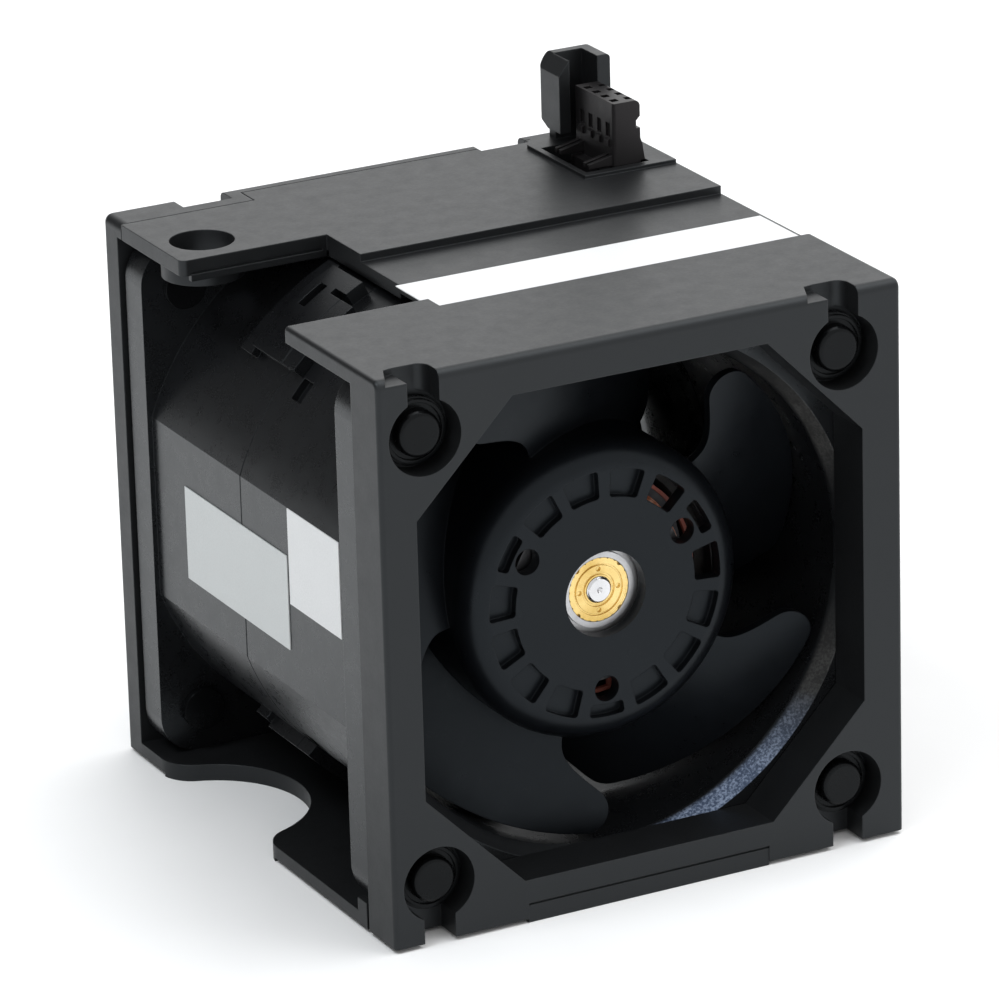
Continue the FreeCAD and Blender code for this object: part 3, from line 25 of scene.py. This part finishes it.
# ------------------------------------------------------------------ camera
def camera():
    a, e, roll = -0.478, 0.356, 0.028
    back = Vector((math.sin(a) * math.cos(e), -math.cos(a) * math.cos(e), math.sin(e)))
    right = Vector((math.cos(a), math.sin(a), 0))
    down = (-back).cross(right)
    c, s = math.cos(roll), math.sin(roll)
    r2 = right * c + down * s
    d2 = down * c - right * s
    cam = bpy.data.cameras.new("camera")
    cam.lens, cam.sensor_width = 243.0, 36.0
    cam.clip_start, cam.clip_end = 0.05, 20.0
    ob = bpy.data.objects.new("camera", cam)
    m = Matrix.Identity(4)
    for i, v in enumerate((r2, -d2, back)):
        m[0][i], m[1][i], m[2][i] = v
    m.translation = Vector((-0.31936, -0.61636, 0.29260))
    ob.matrix_world = m
    bpy.context.collection.objects.link(ob)
    bpy.context.scene.camera = ob


camera()
bpy.context.scene.view_settings.view_transform = "Standard"


# --------------------------------------------------------------- materials
class Mat:
    def __init__(self, name):
        self.m = bpy.data.materials.new(name)
        self.m.use_nodes = True
        self.t = self.m.node_tree
        self.t.nodes.clear()
        self.out = self.t.nodes.new("ShaderNodeOutputMaterial")
        self.b = self.t.nodes.new("ShaderNodeBsdfPrincipled")
        self.t.links.new(self.b.outputs[0], self.out.inputs[0])
        self.co = self.t.nodes.new("ShaderNodeTexCoord").outputs["Object"]

    def link(self, a, b):
        self.t.links.new(a, b)

    def noise(self, size_mm, detail=3.0, rough=0.55, vec=None, dist=0.0):
        n = self.t.nodes.new("ShaderNodeTexNoise")
        n.inputs["Scale"].default_value = 1000.0 / size_mm
        n.inputs["Detail"].default_value = detail
        n.inputs["Roughness"].default_value = rough
        n.inputs["Distortion"].default_value = dist
        self.link(vec or self.co, n.inputs["Vector"])
        return n.outputs["Fac"]

    def voronoi(self, size_mm):
        n = self.t.nodes.new("ShaderNodeTexVoronoi")
        n.inputs["Scale"].default_value = 1000.0 / size_mm
        self.link(self.co, n.inputs["Vector"])
        return n.outputs["Distance"]

    def math(self, op, a, b=None, c=None, clamp=False):
        n = self.t.nodes.new("ShaderNodeMath")
        n.operation = op
        n.use_clamp = clamp
        for i, v in enumerate((a, b, c)):
            if v is None:
                continue
            if isinstance(v, (int, float)):
                n.inputs[i].default_value = v
            else:
                self.link(v, n.inputs[i])
        return n.outputs[0]

    def range(self, v, a, b, c, d):
        n = self.t.nodes.new("ShaderNodeMapRange")
        n.clamp = True
        self.link(v, n.inputs[0])
        for i, x in enumerate((a, b, c, d)):
            n.inputs[i + 1].default_value = x
        return n.outputs[0]

    def ramp(self, v, stops):
        n = self.t.nodes.new("ShaderNodeValToRGB")
        r = n.color_ramp
        while len(r.elements) > 1:
            r.elements.remove(r.elements[-1])
        r.elements[0].position = stops[0][0]
        r.elements[0].color = (*stops[0][1], 1)
        for p, c in stops[1:]:
            e = r.elements.new(p)
            e.color = (*c, 1)
        self.link(v, n.inputs[0])
        return n.outputs[0]

    def mix(self, f, a, b):
        n = self.t.nodes.new("ShaderNodeMix")
        n.data_type = "RGBA"
        if isinstance(f, (int, float)):
            n.inputs[0].default_value = f
        else:
            self.link(f, n.inputs[0])
        for i, v in ((6, a), (7, b)):
            if isinstance(v, tuple):
                n.inputs[i].default_value = (*v, 1)
            else:
                self.link(v, n.inputs[i])
        return n.outputs[2]

    def sep(self):
        n = self.t.nodes.new("ShaderNodeSeparateXYZ")
        self.link(self.co, n.inputs[0])
        return n.outputs

    def bevel(self, radius_mm):
        n = self.t.nodes.new("ShaderNodeBevel")
        n.samples = 4
        n.inputs["Radius"].default_value = radius_mm / 1000
        return n.outputs[0]

    def edge_mask(self, radius_mm):
        """1 on sharp edges, 0 on flat faces."""
        b = self.bevel(radius_mm)
        g = self.t.nodes.new("ShaderNodeNewGeometry").outputs["Normal"]
        d = self.t.nodes.new("ShaderNodeVectorMath")
        d.operation = "DOT_PRODUCT"
        self.link(b, d.inputs[0])
        self.link(g, d.inputs[1])
        return self.range(d.outputs["Value"], 0.72, 0.995, 1.0, 0.0)

    def bump(self, layers, normal=None):
        prev = normal
        for h, strength, dist_mm in layers:
            n = self.t.nodes.new("ShaderNodeBump")
            n.inputs["Strength"].default_value = strength
            n.inputs["Distance"].default_value = dist_mm / 1000
            self.link(h, n.inputs["Height"])
            if prev is not None:
                self.link(prev, n.inputs["Normal"])
            prev = n.outputs[0]
        self.link(prev, self.b.inputs["Normal"])

    def set(self, **kw):
        names = {"color": "Base Color", "rough": "Roughness", "metal": "Metallic", "ior": "IOR",
                 "coat": "Coat Weight", "coat_rough": "Coat Roughness", "spec": "Specular IOR Level",
                 "sheen": "Sheen Weight", "tint": "Specular Tint"}
        for k, v in kw.items():
            s = self.b.inputs[names[k]]
            if isinstance(v, tuple):
                s.default_value = (*v, 1)
            elif isinstance(v, (int, float)):
                s.default_value = v
            else:
                self.link(v, s)
        return self


def moulded(name, dark, light, r0, r1, grain_mm=0.35, grain=0.35, edge=(0.05, 0.05, 0.052), edge_mm=0.18,
            ior=1.5, edge_amount=0.35, tint=(0.90, 0.96, 1.0)):
    """Injection-moulded plastic: a spark-eroded grain, slow variation in
    shade and gloss, small scuffs, and edges rubbed a little lighter."""
    m = Mat(name)
    big = m.noise(14.0, 3.0)
    mid = m.noise(2.2, 4.0)
    fine = m.noise(grain_mm, 2.0, 0.6)
    cloud = m.math("MULTIPLY_ADD", mid, 0.35, m.math("MULTIPLY", big, 0.65))
    base = m.ramp(cloud, [(0.3, dark), (0.7, light)])
    worn = m.math("MULTIPLY", m.edge_mask(edge_mm), m.range(mid, 0.35, 0.65, 0.25 * edge_amount, edge_amount))
    m.set(color=m.mix(worn, base, edge))
    m.set(rough=m.range(m.math("MULTIPLY_ADD", fine, 0.4, m.math("MULTIPLY", mid, 0.6)), 0.3, 0.7, r0, r1), ior=ior, tint=tint)
    m.bump([(m.noise(6.0, 2.0), 0.02, 0.08), (fine, grain, 0.015)], m.bevel(edge_mm))
    return m.m


def duct_frame():
    """Frame plastic, with the coned mouth of the duct left coarser than the polished wall behind it, and a pale grain
    painted on the right of the mouth, bluish and brightest at its lower right, as a painted highlight."""
    m = Mat("frame_plastic")
    big = m.noise(14.0, 3.0)
    mid = m.noise(2.2, 4.0)
    fine = m.noise(0.3, 2.0, 0.6)
    x, y, z = m.sep()
    dx = m.math("SUBTRACT", x, FX)
    dz = m.math("SUBTRACT", z, FZ)
    r = m.math("SQRT", m.math("ADD", m.math("MULTIPLY", dx, dx), m.math("MULTIPLY", dz, dz)))
    mouth = m.math("MULTIPLY", m.range(r, 0.02856, 0.0288, 0.0, 1.0),
                   m.math("MULTIPLY", m.range(r, 0.02962, 0.0297, 1.0, 0.0), m.range(y, YL, YL + 0.0003, 1.0, 0.0)))
    side = m.range(m.math("SUBTRACT", dx, m.math("MULTIPLY", dz, 0.35)), 0.006, 0.018, 0.0, 1.0)
    low = m.range(dz, -0.0240, -0.0160, 1.0, 0.0)
    ends = m.range(m.math("ABSOLUTE", dz), 0.005, 0.012, 0.0, 1.0)
    speck = m.range(m.math("MULTIPLY_ADD", fine, 0.7, m.math("MULTIPLY", mid, 0.3)), 0.44, 0.60, 0.0, 1.0)
    cloud = m.math("MULTIPLY_ADD", mid, 0.35, m.math("MULTIPLY", big, 0.65))
    base = m.ramp(cloud, [(0.3, (0.0036, 0.0037, 0.0041)), (0.7, (0.0052, 0.0054, 0.0060))])
    # painted highlight: pale grain on the right of the duct mouth, bright and bluish low down, standing in for a
    # reflection of the key light
    painted_highlight_tone = m.mix(low, m.mix(speck, (0.022, 0.021, 0.020), (0.050, 0.049, 0.047)),
                 m.mix(speck, (0.050, 0.072, 0.125), (0.25, 0.31, 0.43)))
    skin_and_painted_highlight = m.mix(m.math("MULTIPLY", m.math("MULTIPLY", mouth, ends), side), base, painted_highlight_tone)
    worn = m.math("MULTIPLY", m.edge_mask(0.12), m.range(mid, 0.35, 0.65, 0.03, 0.16))
    # the seam between the frame halves is painted black and made rough: painted shade in the gap, together with dirt
    # in the groove
    seam = m.range(m.math("ABSOLUTE", m.math("SUBTRACT", y, YS)), 0.00010, 0.00018, 1.0, 0.0)
    m.set(color=m.mix(seam, m.mix(worn, skin_and_painted_highlight, (0.05, 0.05, 0.052)), (0.001, 0.001, 0.0012)), ior=1.44,
          tint=(0.86, 0.94, 1.0))
    gloss = m.range(m.math("MULTIPLY_ADD", fine, 0.4, m.math("MULTIPLY", mid, 0.6)), 0.3, 0.7, 0.24, 0.34)
    m.set(rough=m.math("MAXIMUM", m.math("MULTIPLY_ADD", mouth, 0.16, gloss), m.math("MULTIPLY", seam, 0.95)))
    m.bump([(m.noise(6.0, 2.0), 0.02, 0.08), (fine, 0.3, 0.015)], m.bevel(0.09))
    return m.m


M = {}
M["carrier"] = moulded("carrier_plastic", (0.0054, 0.0056, 0.0060), (0.0068, 0.0070, 0.0075), 0.38, 0.47, ior=1.405,
                       edge_amount=0.22, tint=(0.88, 0.95, 1.0))
M["frame"] = duct_frame()
M["impeller"] = moulded("impeller_plastic", (0.0026, 0.0030, 0.0038), (0.0038, 0.0044, 0.0056), 0.26, 0.38,
                        grain_mm=0.3, ior=1.30, edge_amount=0.25, tint=(0.80, 0.91, 1.0))
M["connector"] = moulded("connector_plastic", (0.0038, 0.0036, 0.0038), (0.0064, 0.006, 0.0064), 0.38, 0.52,
                         grain_mm=0.22, edge_mm=0.08, ior=1.40, tint=(1.0, 0.95, 0.98))
M["rubber"] = moulded("isolator_rubber", (0.0018, 0.0019, 0.0021), (0.0030, 0.0031, 0.0034), 0.20, 0.30, grain_mm=0.25,
                      grain=0.2, edge_mm=0.14, edge=(0.012, 0.012, 0.012), ior=1.24, edge_amount=0.15)
M["insulator"] = moulded("insulator_plastic", (0.30, 0.085, 0.065), (0.42, 0.135, 0.10), 0.42, 0.55, grain_mm=0.25,
                         edge=(0.5, 0.22, 0.17), edge_mm=0.08, ior=1.45, tint=(1.0, 0.95, 0.93))


def metal(name, dark, light, r0, r1, ring=None, scratch=0.25, edge_mm=0.06):
    m = Mat(name)
    x, y, z = m.sep()
    fine = m.noise(0.18, 3.0)
    slow = m.noise(3.0, 3.0)
    m.set(color=m.ramp(slow, [(0.3, dark), (0.7, light)]), metal=1.0)
    m.set(rough=m.range(fine, 0.3, 0.7, r0, r1))
    layers = []
    if ring:
        dx = m.math("SUBTRACT", x, FX)
        dz = m.math("SUBTRACT", z, FZ)
        r = m.math("SQRT", m.math("ADD", m.math("MULTIPLY", dx, dx), m.math("MULTIPLY", dz, dz)))
        w = m.math("SINE", m.math("MULTIPLY", m.math("ADD", r, m.math("MULTIPLY", slow, 0.00004)),
                                  2000 * math.pi / ring))
        layers.append((w, 0.35, 0.006))
    layers.append((fine, scratch, 0.004))
    m.bump(layers, m.bevel(edge_mm))
    return m.m


m = Mat("yoke_steel")              # bright steel within 7.5 mm of the axis, dark from 8.5 mm outward
x, y, z = m.sep()
dx = m.math("SUBTRACT", x, FX)
dz = m.math("SUBTRACT", z, FZ)
r = m.math("SQRT", m.math("ADD", m.math("MULTIPLY", dx, dx), m.math("MULTIPLY", dz, dz)))
slow, fine = m.noise(3.0, 3.0), m.noise(0.18, 3.0)
m.set(color=m.mix(m.range(r, 0.0075, 0.0085, 0.0, 1.0),
                  m.ramp(slow, [(0.3, (0.40, 0.40, 0.41)), (0.7, (0.55, 0.55, 0.56))]),
                  m.ramp(slow, [(0.3, (0.07, 0.07, 0.073)), (0.7, (0.12, 0.12, 0.124))])), metal=1.0,
      rough=m.range(fine, 0.3, 0.7, 0.28, 0.45))
m.bump([(fine, 0.25, 0.004)], m.bevel(0.06))
M["yoke"] = m.m
M["steel"] = metal("ground_steel", (0.62, 0.62, 0.63), (0.74, 0.74, 0.75), 0.12, 0.24, ring=0.16)
M["brass"] = metal("turned_brass", (0.62, 0.42, 0.13), (0.86, 0.64, 0.27), 0.14, 0.30, ring=0.22)
M["contact"] = metal("plated_contact", (0.75, 0.58, 0.25), (0.86, 0.70, 0.36), 0.18, 0.3)
M["core"] = None

m = Mat("core_laminations")
x, y, z = m.sep()
lam = m.math("SINE", m.math("MULTIPLY", y, 2000 * math.pi / 0.5))
m.set(color=m.ramp(m.noise(1.2), [(0.3, (0.10, 0.10, 0.105)), (0.7, (0.17, 0.17, 0.18))]), metal=1.0,
      rough=m.range(m.noise(0.3), 0.3, 0.7, 0.4, 0.6))
m.bump([(lam, 0.6, 0.05), (m.noise(0.2), 0.2, 0.01)], m.bevel(0.06))
M["core"] = m.m

m = Mat("enamelled_copper")
x, y, z = m.sep()
dx = m.math("SUBTRACT", x, FX)
dz = m.math("SUBTRACT", z, FZ)
r = m.math("SQRT", m.math("ADD", m.math("MULTIPLY", dx, dx), m.math("MULTIPLY", dz, dz)))
wob = m.math("MULTIPLY", m.noise(1.6, 2.0), 0.00022)
turns = m.math("SINE", m.math("MULTIPLY", m.math("ADD", m.math("ADD", r, wob), m.math("MULTIPLY", y, 0.25)),
                              2000 * math.pi / 0.34))
t01 = m.math("MULTIPLY_ADD", turns, 0.5, 0.5)
# the colour goes dark in the grooves between turns: painted shade between the wires
m.set(color=m.mix(m.range(t01, 0.0, 0.55, 0.75, 0.0), m.ramp(m.noise(0.9, 3.0),
      [(0.3, (0.80, 0.24, 0.11)), (0.7, (0.95, 0.44, 0.27))]), (0.30, 0.06, 0.03)), metal=0.15,
      rough=m.range(m.noise(0.3), 0.3, 0.7, 0.22, 0.38))
m.set(coat=0.6, coat_rough=0.12)
m.bump([(turns, 0.8, 0.06)])
M["copper"] = m.m

m = Mat("bonded_ferrite")
m.set(color=m.ramp(m.noise(0.8, 4.0), [(0.3, (0.02, 0.019, 0.018)), (0.7, (0.035, 0.033, 0.032))]),
      rough=m.range(m.noise(0.3), 0.3, 0.7, 0.5, 0.68))
m.bump([(m.noise(0.25, 3.0), 0.4, 0.02)], m.bevel(0.1))
M["magnet"] = m.m

m = Mat("solder_resist")
m.set(color=m.ramp(m.noise(1.5, 4.0), [(0.35, (0.006, 0.06, 0.025)), (0.65, (0.012, 0.10, 0.042))]),
      rough=m.range(m.noise(0.5), 0.3, 0.7, 0.2, 0.35), coat=0.3, coat_rough=0.1)
m.bump([(m.noise(0.7, 3.0), 0.2, 0.02)], m.bevel(0.05))
M["board"] = m.m

m = Mat("chip_package")
m.set(color=m.ramp(m.noise(0.5, 4.0), [(0.35, (0.010, 0.010, 0.010)), (0.65, (0.02, 0.02, 0.02))]),
      rough=m.range(m.noise(0.2), 0.3, 0.7, 0.45, 0.6))
m.bump([(m.noise(0.12, 2.0), 0.3, 0.01)], m.bevel(0.05))
M["chip"] = m.m

m = Mat("lead_sleeve")
m.set(color=m.ramp(m.noise(2.5, 3.0), [(0.3, (0.012, 0.012, 0.013)), (0.7, (0.02, 0.02, 0.021))]),
      rough=m.range(m.noise(0.4), 0.3, 0.7, 0.32, 0.45))
m.bump([(m.noise(1.0, 2.0), 0.15, 0.03)])
M["lead"] = m.m

def label_film(name, lo, hi, fleck):
    """Blank label stock: faint fibre, slow change of tone, slightly wavy."""
    m = Mat(name)
    fibre = m.noise(0.22, 4.0, 0.7)
    tone = m.noise(7.0, 3.0)
    m.set(color=m.mix(m.range(fibre, 0.3, 0.7, 0.0, 1.0), m.ramp(tone, [(0.3, lo), (0.7, hi)]), fleck),
          rough=m.range(tone, 0.3, 0.7, 0.36, 0.5))
    m.bump([(m.noise(9.0, 2.0), 0.06, 0.12), (fibre, 0.15, 0.006)])
    return m.m


M["label"] = label_film("top_label_film", (0.64, 0.645, 0.65), (0.69, 0.695, 0.70), (0.71, 0.715, 0.72))
# the side and low labels are the same blank stock as the top label, painted darker as painted shade for sides that
# face away from the light
M["label_side_painted_shade"] = label_film("side_label_film_painted_shade", (0.41, 0.43, 0.43), (0.47, 0.49, 0.49), (0.50, 0.52, 0.52))
M["label_low_painted_shade"] = label_film("low_label_film_painted_shade", (0.55, 0.56, 0.565), (0.61, 0.62, 0.625), (0.64, 0.65, 0.655))

WHERE = {
    "carrier_front_shell": "carrier", "carrier_rear_shell": "carrier", "connector_housing": "connector",
    "connector_contacts": "contact", "fan_frame_front": "frame", "fan_frame_rear": "frame",
    "front_isolators": "rubber", "rear_isolators": "rubber", "top_label": "label",
    "long_side_label": "label_side_painted_shade", "short_side_label": "label_low_painted_shade",
    "front_motor_leads": "lead", "rear_motor_leads": "lead",
}
for s_ in ("front_", "rear_"):
    WHERE.update({s_ + "impeller": "impeller", s_ + "rotor_yoke": "yoke", s_ + "retaining_clip": "steel",
                  s_ + "shaft": "steel", s_ + "preload_spring": "steel", s_ + "bearing_inner_rings": "steel",
                  s_ + "bearing_outer_rings": "steel", s_ + "bearing_balls": "steel", s_ + "magnet_ring": "magnet",
                  s_ + "brass_bushing": "brass", s_ + "bearing_tube": "brass", s_ + "stator_core": "core",
                  s_ + "stator_insulator": "insulator", s_ + "windings": "copper", s_ + "circuit_board": "board",
                  s_ + "board_components": "chip"})
for name, ob in nodes.items():
    for i in range(max(1, len(ob.material_slots))):
        if not ob.material_slots:
            ob.data.materials.append(M[WHERE[name]])
        else:
            ob.material_slots[i].material = M[WHERE[name]]

# ------------------------------------------------------------------- stage
bm = bmesh.new()
bmesh.ops.create_grid(bm, x_segments=8, y_segments=8, size=3.0)
me = bpy.data.meshes.new("floor")
bm.to_mesh(me)
bm.free()
floor = bpy.data.objects.new("floor", me)
bpy.context.collection.objects.link(floor)
floor.location.z = -0.00002
m = Mat("pale_floor")
m.set(color=m.ramp(m.noise(60.0, 3.0), [(0.3, (0.92, 0.92, 0.92)), (0.7, (0.95, 0.95, 0.95))]),
      rough=m.range(m.noise(8.0), 0.3, 0.7, 0.6, 0.75))
me.materials.append(m.m)


def area(name, at, aim, size, watts, color=(1, 1, 1)):
    l = bpy.data.lights.new(name, "AREA")
    l.shape = "RECTANGLE"
    l.size, l.size_y = size
    l.energy = watts
    l.color = color
    ob = bpy.data.objects.new(name, l)
    ob.location = at
    ob.rotation_euler = (Vector(aim) - Vector(at)).to_track_quat("-Z", "Y").to_euler()
    bpy.context.collection.objects.link(ob)
    return ob


def studio():
    """A white room: brighter behind on the right, darker behind on the left."""
    world = bpy.data.worlds.new("studio")
    world.use_nodes = True
    t = world.node_tree
    bg = t.nodes["Background"]
    bg.inputs[0].default_value = (1.0, 1.0, 1.0, 1)
    co = t.nodes.new("ShaderNodeTexCoord").outputs["Generated"]

    def lobe(direction, a0, a1, v0, v1):
        """v0 within the angle a0 of the direction, v1 beyond a1."""
        d = t.nodes.new("ShaderNodeVectorMath")
        d.operation = "DOT_PRODUCT"
        t.links.new(co, d.inputs[0])
        d.inputs[1].default_value = Vector(direction).normalized()
        r = t.nodes.new("ShaderNodeMapRange")
        r.interpolation_type = "SMOOTHSTEP"
        t.links.new(d.outputs["Value"], r.inputs[0])
        for i, v in enumerate((math.cos(math.radians(a1)), math.cos(math.radians(a0)), v1, v0)):
            r.inputs[i + 1].default_value = v
        return r.outputs[0]

    def times(a, b):
        n = t.nodes.new("ShaderNodeMath")
        n.operation = "MULTIPLY"
        t.links.new(a, n.inputs[0])
        t.links.new(b, n.inputs[1])
        return n.outputs[0]

    dark = lobe((-0.75, 0.6, 0.3), 32, 66, 0.14, 1.0)
    back = lobe((0.43, 0.83, 0.35), 14, 40, 1.58, 1.0)
    t.links.new(times(dark, back), bg.inputs[1])
    bpy.context.scene.world = world


studio()
area("key", (-0.74, -0.10, 1.22), (0, 0, 0.03), (0.45, 0.45), 8.0, (0.92, 0.965, 1.0))
area("floor_fill", (0.9, -0.2, 1.9), (0.2, 0.3, 0.0), (1.6, 1.6), 17.0, (0.97, 0.985, 1.0))
